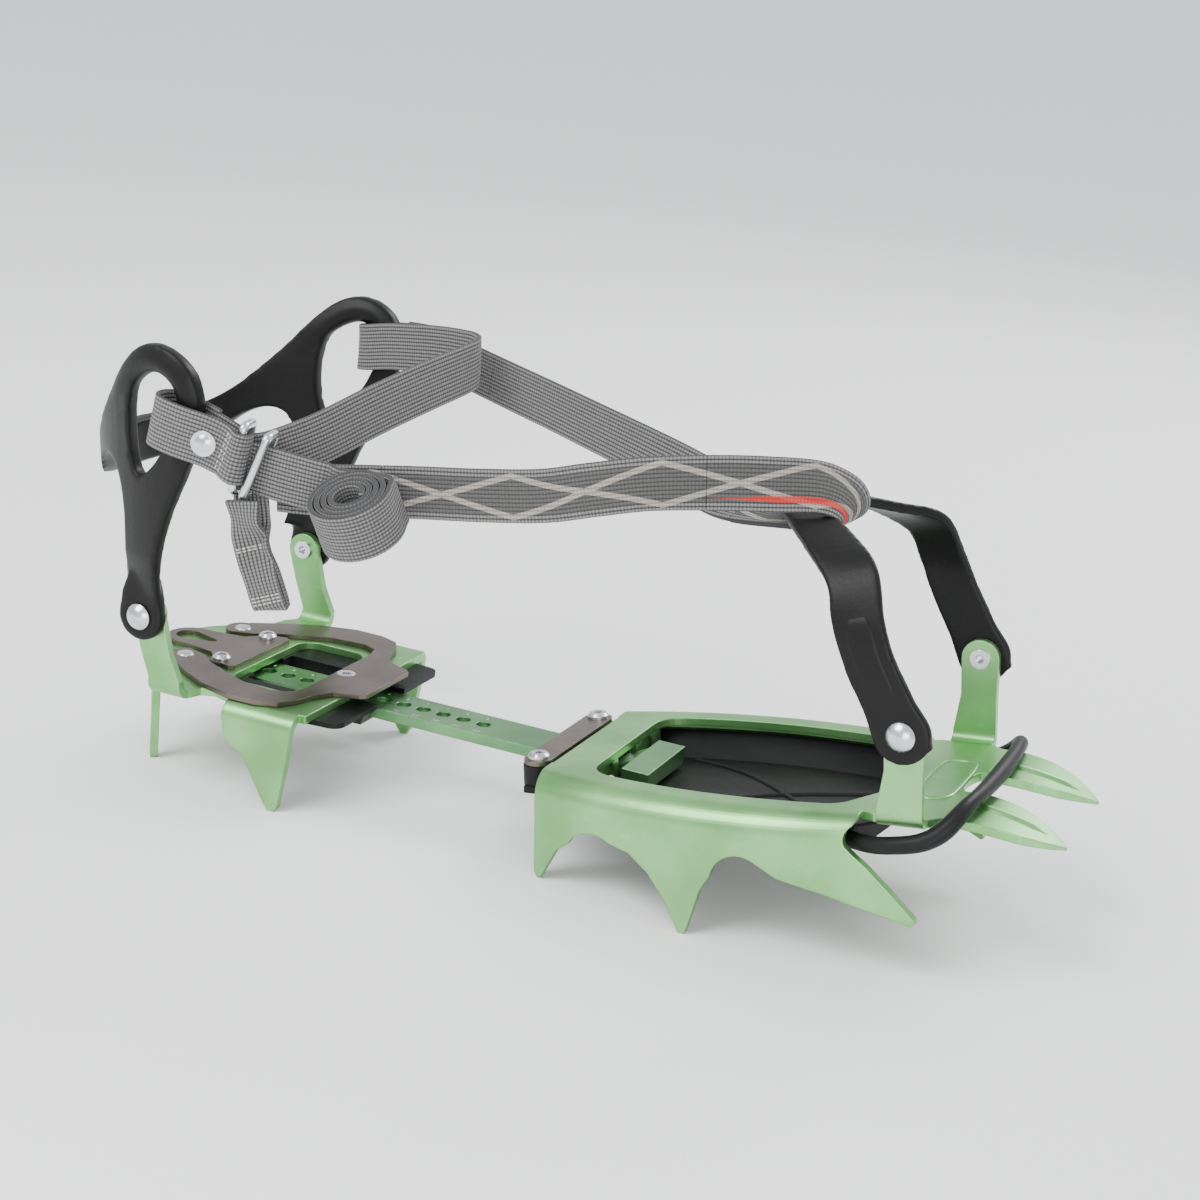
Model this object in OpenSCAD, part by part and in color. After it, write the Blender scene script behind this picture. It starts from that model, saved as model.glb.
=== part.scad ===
// Twelve-point strap-on crampon for a right boot, in millimetres.
// +X points to the toe, +Y to the inner side of the foot and +Z up.
// The origin is on top of the steel heel plate, in the plane that the boot sole rests on.
// The front section is drawn level, with x = 0 at its rear edge and z = 0 on top, and then
// placed on the linking bar, pitched toe-up.

/* [Layout] */
// Distance from the heel rest to the rear edge of the front section
hinge_x = 76; // [60:1:90]
// Toe-up pitch of the front section on the bar, in degrees
front_pitch = 7.5; // [5:0.5:9]
// Thickness of the aluminium sheet
sheet_t = 2.5; // [2:0.1:3]
// Height of the boot sole above the ground
stand_h = 32.3; // [30:0.1:36]

/* [Front section] */
// Radius of the bowed side walls, seen from above
side_r = 168; // [150:1:190]
// Half the width across the side walls at their widest
half_w = 47; // [44:0.5:50]
// Distance from the rear edge to the widest place
wide_x = 56; // [50:1:62]
// Outer radius of the bend between the top and the side walls
fold_r = 7; // [5:0.5:8]
// Distance from the rear edge to the toe rivets
toe_rivet_x = 110; // [106:0.5:114]
// Height of the toe rivets over the front section
toe_rivet_z = 25; // [22:0.5:28]
// Outer face of the toe posts, from the middle
toe_post_y = 38.9; // [36:0.1:42]

/* [Heel section] */
// Distance of the locating pin behind the origin
pin_x = -8; // [-10:0.5:-6]
// Distance of the cage rivets behind the origin
cage_rivet_x = -51.5; // [-54:0.5:-48]
// Height of the cage rivets over the sole plane
cage_rivet_z = 22; // [20:0.5:26]
// Outer face of the heel posts, from the middle
heel_post_y = 45.3; // [43:0.1:47]

/* [Linking bar] */
// Width of the bar
bar_w = 16; // [12:0.5:18]
// Thickness of the bar
bar_t = 3.4; // [3:0.1:4]
// Depth of the bar's top under the sole plane
bar_drop = 5.6; // [5:0.1:7]
// Distance between adjustment holes
hole_pitch = 7; // [6:0.5:8]
// Diameter of the adjustment holes
hole_d = 4.6; // [4:0.1:5]

/* [Plastic and webbing] */
// Thickness of the plastic cage
cage_t = 5; // [4:0.5:6]
// Radius of the cage, seen from above, at the height of its rivets
cage_r = 52.3; // [50:0.1:55]
// Width of the webbing
web_w = 15; // [12:0.5:20]
// Thickness of the webbing
web_t = 1.6; // [1.2:0.1:2]
// Diameter of the rivet shanks
rivet_d = 4; // [3:0.1:5]

/* [Hidden] */

alloy = [0.42, 0.66, 0.40];
steel = [0.30, 0.26, 0.22];
zinc = [0.75, 0.76, 0.78];
plastic = [0.10, 0.10, 0.10];
webbing = [0.42, 0.42, 0.43];

$fn = 48;
fine_fn = 24;
run_gap = 0.05;        // radial clearance of a running fit
plate_t = 1.5;         // steel plates and strips
heel_top = -plate_t - 0.1;
front_z = -1.8;        // height of the hinge line's top edge
rim_w = 11;            // flat and fold of the side rail together
wall_lean = 1.5;       // how far the side walls flare out towards the points
fold_steps = 12;
tip_front = (front_z + stand_h) / cos(front_pitch);
side_cy = side_r - half_w;

// Points of an arc about c, radius r, from angle a to angle b
function arc(c, r, a, b, n = 8) =
    [for (i = [0:n]) c + r * [cos(a + (b - a) * i / n), sin(a + (b - a) * i / n)]];

// Catmull-Rom curve through the rows of p, which may hold several numbers each
function spline_at(p, i, t) =
    let (a = p[max(i - 1, 0)], b = p[i], c = p[i + 1], d = p[min(i + 2, len(p) - 1)])
    0.5 * (2 * b + (c - a) * t + (2 * a - 5 * b + 4 * c - d) * t * t
        + (3 * b - a - 3 * c + d) * t * t * t);
function spline(p, n) =
    [for (i = [0:len(p) - 2]) for (k = [0:n - 1]) spline_at(p, i, k / n), p[len(p) - 1]];
function unit(v) = v / norm(v);

// Triangles round n rings of m points each, with an end cap on the first and the last ring
function sweep_faces(n, m) = concat(
    [for (k = [1:m - 2]) [0, k, k + 1]],
    [for (i = [0:n - 2]) for (k = [0:m - 1]) [m * i + k, m * i + m + k, m * i + (k + 1) % m]],
    [for (i = [0:n - 2]) for (k = [0:m - 1])
        [m * i + m + k, m * i + m + (k + 1) % m, m * i + (k + 1) % m]],
    [for (k = [1:m - 2]) [m * (n - 1), m * (n - 1) + k + 1, m * (n - 1) + k]]
);

// Places the front section on the bar
module front_place() {
    translate([hinge_x, 0, front_z])
        rotate([0, -front_pitch, 0])
            children();
}

// Both sides of the foot
module both_sides() {
    children();
    mirror([0, 1, 0]) children();
}

// A bar along Y between y1 and y2
module cross_pin(x, z, d, y1, y2) {
    translate([x, y1, z])
        rotate([-90, 0, 0])
            cylinder(d = d, h = y2 - y1);
}

// A band swept along rows of [x, y, z, wx, wy, wz], where w points across its width
module band(rows, width, thick, steps = 4) {
    p = spline(rows, steps);
    n = len(p);
    c = [for (r = p) [r[0], r[1], r[2]]];
    w = [for (r = p) unit([r[3], r[4], r[5]])];
    t = [for (i = [0:n - 1]) unit(c[min(i + 1, n - 1)] - c[max(i - 1, 0)])];
    o = [for (i = [0:n - 1]) unit(cross(t[i], w[i]))];
    points = [for (i = [0:n - 1]) for (s = [[-1, -1], [1, -1], [1, 1], [-1, 1]])
        c[i] + w[i] * s[0] * width / 2 + o[i] * s[1] * thick / 2];
    polyhedron(points, sweep_faces(n, 4), convexity = 6);
}

// A round cord swept along rows of [x, y, z]
module cord(rows, d, steps = 4, sides = 10) {
    c = spline(rows, steps);
    n = len(c);
    t = [for (i = [0:n - 1]) unit(c[min(i + 1, n - 1)] - c[max(i - 1, 0)])];
    a = [for (i = [0:n - 1]) unit(cross(t[i], [0.1, 0, 1]))];
    b = [for (i = [0:n - 1]) cross(t[i], a[i])];
    points = [for (i = [0:n - 1]) for (k = [0:sides - 1])
        c[i] + d / 2 * (a[i] * cos(360 * k / sides) + b[i] * sin(360 * k / sides))];
    polyhedron(points, sweep_faces(n, sides), convexity = 6);
}

// Section of a sheet that runs in from the left and bends down (dir = -1) or up (dir = 1).
// The top of the flat sheet is at height 0 and the outer face of the bent leg is at 0.
module fold_section(flat, r, leg, dir) {
    inner = r - sheet_t;
    far = dir > 0 ? -sheet_t : 0;
    mid = far - dir * -r;
    polygon(concat(
        [[-r - flat, far]],
        arc([-r, mid], r, dir > 0 ? -90 : 90, 0, fold_steps),
        [[0, mid + dir * leg], [-sheet_t, mid + dir * leg]],
        arc([-r, mid], inner, 0, dir > 0 ? -90 : 90, fold_steps),
        [[-r - flat, far + dir * sheet_t]]
    ));
}

// A folded leg of sheet, cut to the outline given as a child.
// The fold runs along local X, the leg faces local +Y and the outline is drawn in X and Z.
module folded_leg(width, flat, r, leg, dir) {
    intersection() {
        rotate([90, 0, 90])
            translate([0, 0, -width / 2])
                linear_extrude(width)
                    fold_section(flat, r, leg, dir);
        rotate([90, 0, 0])
            translate([0, 0, -1])
                linear_extrude(r + flat + 2)
                    children();
    }
}

// ---------------------------------------------------------------- front section

// Section of the bowed side wall, at its distance from the centre of the bow
module wall_section() {
    top = side_r - wall_lean;
    depth = 42;
    polygon(concat(
        [[top - rim_w, 0]],
        arc([top - fold_r, -fold_r], fold_r, 90, 0, fold_steps),
        [[side_r, -depth], [side_r - sheet_t, -depth]],
        arc([top - fold_r, -fold_r], fold_r - sheet_t, 0, 90, fold_steps),
        [[top - rim_w, -sheet_t]]
    ));
}

// Outline of the three points under one side rail
module side_points() {
    rear_tip = -tip_front + 0.2;
    middle_tip = -(tip_front + 48.5 * tan(front_pitch));
    polygon(concat(
        [[-0.5, 1], [-1.5, rear_tip + 1.5], [-0.6, rear_tip], [0.8, rear_tip]],
        [[2.8, -27.5], [7, -21]],
        arc([20, -24], 10.6, 148, 58, 8),
        [[32, -16.6], [38, -21.2], [43, -27.8], [46.2, middle_tip + 3]],
        [[47.6, middle_tip], [49.2, middle_tip], [50.2, middle_tip + 2], [54, -24]],
        arc([65, -21], 8.2, 170, 55, 8),
        [[76, -18.2], [88, -21.4], [100, -25.6], [111.4, -30], [112.4, -29.4], [112.2, -28.2]],
        [[106, -20.6], [100, -13.8], [95.6, -9.6]],
        arc([97.6, -6], 4, 210, 118, 5),
        [[97, 1]]
    ));
}

module side_rail() {
    intersection() {
        translate([wide_x, -side_cy, 0])
            rotate([0, 0, 90 - 26])
                rotate_extrude(angle = 52, $fn = 180)
                    wall_section();
        rotate([90, 0, 0])
            translate([0, 0, -60])
                linear_extrude(60)
                    side_points();
    }
}

// Flat top of the frame inside its side rails, with the D-shaped opening left free
module front_top() {
    inner = side_r - wall_lean - rim_w + 0.5;
    difference() {
        intersection() {
            translate([wide_x, -side_cy])
                circle(r = inner + 0.01, $fn = 360);
            translate([wide_x, side_cy])
                circle(r = inner + 0.01, $fn = 360);
            polygon([[0, -45], [0, 45], [120, 45], [120, -45]]);
        }
        offset(r = 9, $fn = 32)
            offset(delta = -9)
                intersection() {
                    translate([wide_x, -side_cy]) circle(r = inner - 1.5, $fn = 360);
                    translate([wide_x, side_cy]) circle(r = inner - 1.5, $fn = 360);
                    polygon([[13, -45], [13, 45], [80, 45], [103, 6], [103, -6], [80, -45]]);
                }
        // concave front edge between the two front points
        translate([132, 0])
            circle(r = 16, $fn = 64);
    }
}

// The cross plate between the toe posts, outside the rails' end
module toe_shoulder() {
    polygon(concat(
        [[96, 20], [96, 32.5], [100, 33.9], [114.7, 33.9], [118.4, 31.1], [118.4, 8.6]],
        [[112, 12], [104, 14]]
    ));
}

// Profile of a front point from the side: it leaves level and curves down
module front_point() {
    bend_r = 60;
    start_x = 118;
    intersection() {
        translate([start_x, 0, -bend_r])
            rotate([90, 0, 0])
                translate([0, 0, -40])
                    linear_extrude(40)
                        difference() {
                            circle(r = bend_r, $fn = 180);
                            circle(r = bend_r - sheet_t, $fn = 180);
                            translate([-2 * bend_r, -bend_r]) square([2 * bend_r, 2 * bend_r]);
                            // the underside is ground thinner towards the tip
                            polygon([[16, 55.2], [31.2, 50.6], [34, 49.8], [34, 42], [16, 42]]);
                        }
        translate([0, 0, -30])
            linear_extrude(40)
                polygon(concat(
                    [[118, 8.4], [126, 8.2], [133, 9.4], [139, 11.8], [144, 15]],
                    arc([148, 19.4], 1.1, -60, 60, 4),
                    [[144.6, 24.2], [139, 28], [133, 30], [126, 31], [118, 31.2]]
                ));
    }
}

// Outline of a toe post, in x and z
module toe_post_outline() {
    polygon(concat(
        [[101.6, -4], [102.2, 3], [104.4, 14]],
        arc([toe_rivet_x, toe_rivet_z], 5.6, 180, 0, 12),
        [[115, 14], [114.8, 3], [114.8, -4]]
    ));
}

// Rear bridge lip, bent down, with arch-shaped gaps beside the bar's neck
module bridge_lip() {
    lip_x = 13;
    difference() {
        translate([lip_x, 0, 0])
            rotate([0, 0, -90])
                folded_leg(50, 0.5, 3.4, 3.2, -1)
                    translate([-25, -10]) square([50, 11]);
        translate([lip_x + 2, 0, -6])
            cube([14, 14, 7], center = true);
        both_sides()
            translate([lip_x - 1, 14, -6.6])
                rotate([0, 90, 0])
                    cylinder(r = 4.6, h = 8);
    }
}

module front_frame() {
    color(alloy)
        front_place()
            difference() {
                union() {
                    both_sides() {
                        side_rail();
                        front_point();
                        translate([0, toe_post_y, 0])
                            intersection() {
                                translate([109, 0, 0])
                                    folded_leg(20, 1, 5, 28, 1)
                                        translate([-109, 0, 0]) toe_post_outline();
                                translate([90, -20, -10]) cube([40, 21, 60]);
                            }
                        translate([0, 0, -sheet_t])
                            linear_extrude(sheet_t)
                                toe_shoulder();
                    }
                    translate([0, 0, -sheet_t])
                        linear_extrude(sheet_t)
                            front_top();
                    bridge_lip();
                }
                both_sides()
                    cross_pin(toe_rivet_x, toe_rivet_z, rivet_d, 30, 50);
            }
}

module toe_rivets() {
    color(zinc)
        front_place()
            both_sides()
                difference() {
                    union() {
                        cross_pin(toe_rivet_x, toe_rivet_z, rivet_d, 36.4 - 0.9, 42.6);
                        cross_pin(toe_rivet_x, toe_rivet_z, 6, 36.4 - 0.9, 36.4);
                        translate([toe_rivet_x, 42.6, toe_rivet_z])
                            rotate([-90, 0, 0])
                                intersection() {
                                    translate([0, 0, -3]) sphere(r = 5.1);
                                    cylinder(r = 5, h = 4);
                                }
                    }
                    cross_pin(toe_rivet_x, toe_rivet_z, 2.6, 30, 38);
                }
}

module keeper_strip() {
    color(steel)
        front_place()
            translate([0, 0, -plate_t - 0.1])
                linear_extrude(plate_t)
                    difference() {
                        hull() {
                            translate([-6.2, -21]) circle(r = 4.3);
                            translate([-6.2, 21]) circle(r = 4.3);
                        }
                        translate([-6.2, -21]) circle(d = 3.4);
                        translate([-6.2, 21]) circle(d = 3.4);
                    }
}

// A round-head screw with a star socket, standing on z = 0 and reaching down
module star_screw(head_d, length) {
    difference() {
        union() {
            cylinder(d = head_d, h = 0.9);
            translate([0, 0, 0.9]) cylinder(d1 = head_d, d2 = head_d - 1.6, h = 0.8);
            translate([0, 0, -length]) cylinder(d = 3.2, h = length);
        }
        for (k = [0:2])
            rotate([0, 0, 60 * k])
                translate([-1.5, -0.4, 0.7]) cube([3, 0.8, 2]);
    }
}

module keeper_screws() {
    color(zinc)
        front_place()
            for (s = [-1, 1])
                translate([-6.2, 21 * s, -0.1])
                    star_screw(6.6, 6.5);
}

// Plan of the flexible plate under the front section, inset from the side walls
module front_pan_plan(inset) {
    intersection() {
        translate([wide_x, -side_cy]) circle(r = side_r - 9 - inset, $fn = 96);
        translate([wide_x, side_cy]) circle(r = side_r - 9 - inset, $fn = 96);
        polygon([[2 + inset, -40], [2 + inset, 40], [88 - inset, 40], [104 - inset, 24],
            [104 - inset, -24], [88 - inset, -40]]);
    }
}

module front_anti_balling_plate() {
    rim_z = -4.5;
    floor_z = -12.6;
    pan_t = 1.8;
    color(plastic)
        front_place() {
            difference() {
                union() {
                    hull() {
                        translate([0, 0, rim_z - 0.4]) linear_extrude(0.4) front_pan_plan(0);
                        translate([0, 0, floor_z]) linear_extrude(0.4) front_pan_plan(9);
                    }
                    both_sides()
                        translate([-6.2, 21, -8]) cylinder(r = 4.6, h = 8 - plate_t - 0.15);
                    both_sides()
                        translate([-9, 16, -9.6]) cube([16, 10, 2]);
                }
                hull() {
                    translate([0, 0, rim_z + 0.1]) linear_extrude(0.4) front_pan_plan(pan_t);
                    translate([0, 0, floor_z + pan_t]) linear_extrude(0.4) front_pan_plan(9 + pan_t);
                }
                // way through for the bar
                translate([-12, -9.5, -10.6]) cube([32, 19, 12]);
                both_sides()
                    translate([-6.2, 21, -12]) cylinder(d = 3.2, h = 12);
            }
        }
}

stretch_band_side = [
    [91, -32.5, -8.2], [99, -37, -8.4], [107, -38.8, -6.6], [114, -38.6, -5.6],
    [119.5, -36.6, -2.8], [122.8, -34, 1], [124.4, -29, 3.7], [125.6, -18, 3.4], [125.8, 0, 3.2]
];

module plate_stretch_band() {
    far_side = [for (i = [len(stretch_band_side) - 2:-1:0])
        [stretch_band_side[i][0], -stretch_band_side[i][1], stretch_band_side[i][2]]];
    color(plastic)
        front_place()
            cord(concat(stretch_band_side, far_side), 4.6);
}

// ---------------------------------------------------------------- toe basket

basket_side = [
    [184, 40.9, 33, -1, 0, -0.35],
    [177.5, 40.9, 44, -1, 0, -0.5],
    [170.5, 41, 55, -1, 0, -0.32],
    [165.6, 39.6, 65, -1, 0.1, -0.25],
    [161, 34.4, 75, -0.95, 0.35, -0.5],
    [151, 24.6, 80, -0.86, 0.5, -0.2],
    [140, 13, 83.6, -0.93, 0.36, 0],
    [132, 0, 85, -1, 0, 0.1]
];
basket_rows = concat(
    [for (r = basket_side) [r[0], -r[1], r[2], r[3], -r[4], r[5]]],
    [for (i = [len(basket_side) - 2:-1:0]) basket_side[i]]
);

module toe_basket() {
    color(plastic)
        difference() {
            union() {
                band(basket_rows, 14, 3.2, 6);
                // each arm widens into its round boss
                both_sides()
                    hull() {
                        front_place()
                            cross_pin(toe_rivet_x, toe_rivet_z, 16, 39.2, 42.4);
                        translate([177.5, 40.9, 44])
                            rotate([0, -26.6, 0])
                                cube([14, 3.2, 0.4], center = true);
                    }
            }
            front_place()
                both_sides()
                    cross_pin(toe_rivet_x, toe_rivet_z, rivet_d + 2 * run_gap, 30, 50);
            // flat inner face beside each post
            front_place()
                both_sides()
                    translate([100, 30, 10]) cube([24, 9.2, 26]);
        }
}

// ---------------------------------------------------------------- linking bar

module linking_bar() {
    rear_x = -58;
    neck_x = hinge_x + 9;
    head_x = hinge_x + 17.4;
    head_l = 8.6;
    lift = 3.2;
    color(alloy) {
        difference() {
            union() {
                translate([rear_x, -bar_w / 2, -bar_drop - bar_t])
                    cube([hinge_x + 2 - rear_x, bar_w, bar_t]);
                translate([rear_x, 0, -bar_drop - bar_t])
                    intersection() {
                        cylinder(r = bar_w / 2, h = bar_t);
                        translate([-bar_w, -bar_w / 2, 0]) cube([bar_w, bar_w, bar_t]);
                    }
                translate([hinge_x + 1, -6, -bar_drop - bar_t])
                    cube([neck_x - hinge_x, 12, bar_t]);
                // neck that rises in front of the bridge to the cross head
                translate([0, 6, 0])
                    rotate([90, 0, 0])
                        linear_extrude(12)
                            polygon([[neck_x, -bar_drop - bar_t], [neck_x + 3.4, -bar_drop - bar_t],
                                [head_x + 2, lift - bar_drop - bar_t], [head_x + 2, lift - bar_drop],
                                [head_x, lift - bar_drop], [neck_x + 2.4, -bar_drop],
                                [neck_x, -bar_drop]]);
                translate([head_x, -14, lift - bar_drop - bar_t])
                    cube([head_l, 28, bar_t]);
                translate([head_x + head_l - 2.4, -14, lift - bar_drop - bar_t - 2])
                    cube([2.4, 28, 2.1]);
            }
            for (k = [-6:7])
                translate([pin_x + k * hole_pitch, 0, -20])
                    cylinder(d = hole_d, h = 20);
            // recess of the size scale beside the holes
            for (k = [-6:7])
                translate([pin_x + k * hole_pitch - 1.2, 4.4, -bar_drop - 0.2])
                    cube([0.5, 1.8, 1]);
        }
    }
}

// ---------------------------------------------------------------- heel section

j_x = -14.3;           // middle of the front side point's fold
k_angle = 37;          // direction of the rear points, off straight back
k_fold = [-57.6, 24.4];

module heel_plan() {
    difference() {
        polygon(concat(
            [[0, -37], [0, 37], [-26.4, 37], [-29, 35.4], [-34, 33.8], [-38, 35.6], [-39.4, 39.8],
                [-51, 39.8], [-53.6, 36], [-54.4, 29]],
            [[-54.6, 28.4], [-60.6, 20.4], [-63, 20.6]],
            arc([-46, 0], 27, 136, 224, 14),
            [[-63, -20.6], [-60.6, -20.4], [-54.6, -28.4]],
            [[-54.4, -29], [-53.6, -36], [-51, -39.8], [-39.4, -39.8], [-38, -35.6], [-34, -33.8],
                [-29, -35.4], [-26.4, -37]]
        ));
        // opening under the heel
        translate([-25, 0])
            offset(r = 6, $fn = 32)
                square([12, 34], center = true);
        translate([pin_x, 0]) circle(d = 6.6);
        for (s = [-1, 1]) {
            translate([-45.5, 13.3 * s]) circle(d = 3.2);
            translate([-57, 16.4 * s]) circle(d = 4.2);
        }
    }
}

module front_heel_point_outline() {
    polygon([[-12.2, 2], [-12.1, -6], [-11, -11.8], [-8.6, -14.8], [-4.4, -16.6], [4.4, -stand_h + 1.4],
        [5.6, -stand_h], [7.6, -stand_h], [8.6, -stand_h + 1.2], [11, -16.4], [12.2, -5], [12.3, 2]]);
}

module rear_heel_point_outline() {
    polygon([[-5, 2], [-5, -8], [-3.6, -18], [-1.4, -stand_h + 1], [-0.6, -stand_h],
        [0.8, -stand_h], [1.6, -stand_h + 1], [3.6, -18], [5, -8], [5, 2]]);
}

module heel_post_outline() {
    polygon(concat(
        [[-51, -4], [-50.6, 2], [-53.6, 10]],
        arc([cage_rivet_x, cage_rivet_z], 5.4, 195, -10, 12),
        [[-43.4, 10], [-39.6, 2], [-39.6, -4]]
    ));
}

module heel_frame() {
    color(alloy)
        difference() {
            union() {
                translate([0, 0, heel_top - sheet_t])
                    linear_extrude(sheet_t)
                        heel_plan();
                both_sides() {
                    translate([j_x, 42, heel_top])
                        folded_leg(24.6, 1, 5, 40, -1)
                            translate([0, -heel_top]) front_heel_point_outline();
                    translate([k_fold[0], k_fold[1], heel_top])
                        rotate([0, 0, 90 - k_angle])
                            translate([0, 5, 0])
                                folded_leg(10, 1, 5, 40, -1)
                                    translate([0, -heel_top]) rear_heel_point_outline();
                    intersection() {
                        translate([-45, heel_post_y, heel_top])
                            folded_leg(24, 1, 5.5, 34, 1)
                                translate([45, -heel_top]) heel_post_outline();
                        translate([-60, 30, -10]) cube([30, 20, 60]);
                    }
                }
            }
            both_sides()
                cross_pin(cage_rivet_x, cage_rivet_z, rivet_d, 40, 50);
        }
}

module cage_rivets() {
    color(zinc)
        both_sides()
            difference() {
                union() {
                    cross_pin(cage_rivet_x, cage_rivet_z, rivet_d, 41.9, 50.4);
                    cross_pin(cage_rivet_x, cage_rivet_z, 6, 41.9, heel_post_y - sheet_t);
                    translate([cage_rivet_x, 50.4, cage_rivet_z])
                        rotate([-90, 0, 0])
                            intersection() {
                                translate([0, 0, -3]) sphere(r = 5.1);
                                cylinder(r = 5, h = 4);
                            }
                }
                cross_pin(cage_rivet_x, cage_rivet_z, 2.6, 40, 44);
            }
}

module spring_plate_outline() {
    difference() {
        polygon(concat(
            [[-2, -17.6], [5.4, -14.6], [7, -13], [7, 13], [5.4, 14.6], [-2, 17.6]],
            [[-5.6, 24], [-7, 30], [-10.6, 36], [-17, 38.6], [-27, 38.8], [-38, 35.4], [-48, 29.6],
                [-58, 22.4]],
            arc([-57, 16.4], 5.6, 100, 250, 8),
            [[-51, 13.8], [-47, 17.6], [-38, 22.4], [-29, 26.6], [-18, 27.6], [-12.6, 25.4],
                [-11, 20], [-11, 0]],
            [[-11, -20], [-12.6, -25.4], [-18, -27.6], [-29, -26.6], [-38, -22.4], [-47, -17.6],
                [-51, -13.8]],
            arc([-57, -16.4], 5.6, 110, 260, 8),
            [[-58, -22.4], [-48, -29.6], [-38, -35.4], [-27, -38.8], [-17, -38.6], [-10.6, -36],
                [-7, -30], [-5.6, -24]]
        ));
        translate([pin_x, 0]) circle(d = 4.4);
        for (s = [-1, 1])
            translate([-57, 16.4 * s]) circle(d = 2.6);
    }
}

// The pin and the rivets are let into the plate, so that the sole lies flat on it
module spring_plate() {
    color(steel)
        difference() {
            translate([0, 0, -plate_t])
                linear_extrude(plate_t)
                    spring_plate_outline();
            translate([pin_x, 0, -0.8]) cylinder(d = 6.1, h = 2);
            for (s = [-1, 1])
                translate([-57, 16.4 * s, -0.8]) cylinder(d = 5.8, h = 2);
        }
}

module locating_pin() {
    color(zinc)
        translate([pin_x, 0, 0])
            difference() {
                union() {
                    translate([0, 0, -0.8]) cylinder(d = 6, h = 0.75);
                    translate([0, 0, -bar_drop + 0.3]) cylinder(d = 4.4, h = bar_drop - 0.9);
                }
                translate([0, 0, -1.5]) cylinder(d = 2.8, h = 3);
            }
}

module spring_plate_rivets() {
    color(zinc)
        for (s = [-1, 1])
            translate([-57, 16.4 * s, 0]) {
                translate([0, 0, heel_top - sheet_t]) cylinder(d = 2.6, h = sheet_t - heel_top - 0.5);
                translate([0, 0, -0.8]) cylinder(d = 5.6, h = 0.75);
            }
}

module bar_guide() {
    color(steel)
        translate([0, 0, heel_top])
            linear_extrude(plate_t)
                difference() {
                    polygon(concat(
                        [[-40.6, -17.4], [-39, -16], [-39, 16], [-40.6, 17.4]],
                        arc([-45.5, 13.3], 3.8, 60, 190, 6),
                        [[-52, 9.4], [-58, 8.4]],
                        arc([-66, 0], 7.6, 80, 280, 10),
                        [[-58, -8.4], [-52, -9.4]],
                        arc([-45.5, -13.3], 3.8, 170, 300, 6)
                    ));
                    // teardrop hole in the rear loop
                    hull() {
                        translate([-67, 0]) circle(r = 4);
                        translate([-57.6, 0]) circle(r = 1.2);
                    }
                    for (s = [-1, 1])
                        translate([-45.5, 13.3 * s]) circle(d = 3.2);
                }
}

module guide_screws() {
    color(zinc)
        for (s = [-1, 1])
            translate([-45.5, 13.3 * s, heel_top + plate_t])
                star_screw(5.8, 7);
}

// Flexible plate under the heel, with a channel that the bar slides through
module heel_anti_balling_plate() {
    top = heel_top - sheet_t - 0.05;
    side = bar_w / 2 + 0.6;
    under = -bar_drop - bar_t - 0.5;
    color(plastic)
        difference() {
            union() {
                translate([0, 0, top - 1.6])
                    linear_extrude(1.6)
                        offset(r = 4, $fn = 32)
                            polygon([[-44, -21], [-44, 21], [-30, 26], [-6, 29], [4.4, 28], [4.4, -28],
                                [-6, -29], [-30, -26]]);
                // channel, and the sloping box in front of it
                hull() {
                    translate([-48, -side - 2, under - 1.8])
                        cube([52, 2 * side + 4, 1]);
                    translate([-50, -side - 7, top - 1.2])
                        cube([58, 2 * side + 14, 1]);
                }
                both_sides()
                    translate([-45.5, 13.3, top - 3]) cylinder(r = 3.4, h = 3);
            }
            translate([-80, -side, under]) cube([120, 2 * side, -under + 5]);
            // windows under the holes and the opening
            translate([-36, -side - 4.6, top - 20]) cube([24, 2 * side + 9.2, 24]);
            translate([pin_x, 0, -20]) cylinder(d = 7, h = 20);
            both_sides()
                translate([-45.5, 13.3, -14]) cylinder(d = 3.2, h = 14);
        }
}

// ---------------------------------------------------------------- heel cage

cage_cx = -31.7;
cage_lean = 4;

// A closed smooth outline through the points of p
function closed_spline(p, n) = let (m = len(p))
    [for (i = [0:m - 1]) for (k = [0:n - 1])
        spline_at([for (j = [-1:2]) p[(i + j + m) % m]], 1, k / n)];

cage_outer = [
    [-92, 54.6], [-84, 55], [-79.4, 58.4], [-76, 63], [-72, 66.8], [-67, 68.6], [-62.6, 67],
    [-60, 63], [-58.4, 57], [-57.6, 48], [-58, 38], [-59.4, 28], [-52, 20], [-45, 28],
    [-44, 38], [-42, 47], [-38, 58], [-33, 68.6], [-28.8, 79], [-27, 89], [-27.6, 96],
    [-30.6, 102], [-36, 105.8], [-43, 107.2], [-50, 105], [-57, 98.6], [-64, 89.4], [-71, 80.6],
    [-77, 73.6], [-84, 69], [-92, 68.4], [-96, 61]
];

// Opening for the strap
cage_eye = [
    [-50.6, 67], [-46.6, 68.8], [-42.2, 73.6], [-37.6, 81], [-34.9, 90], [-35.6, 96], [-39, 99.2],
    [-44.6, 99.4], [-50, 96.4], [-53.4, 90], [-54.2, 81], [-53.2, 72]
];

module cage_outline() {
    difference() {
        polygon(closed_spline(cage_outer, 4));
        polygon(closed_spline(cage_eye, 4));
    }
}

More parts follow.
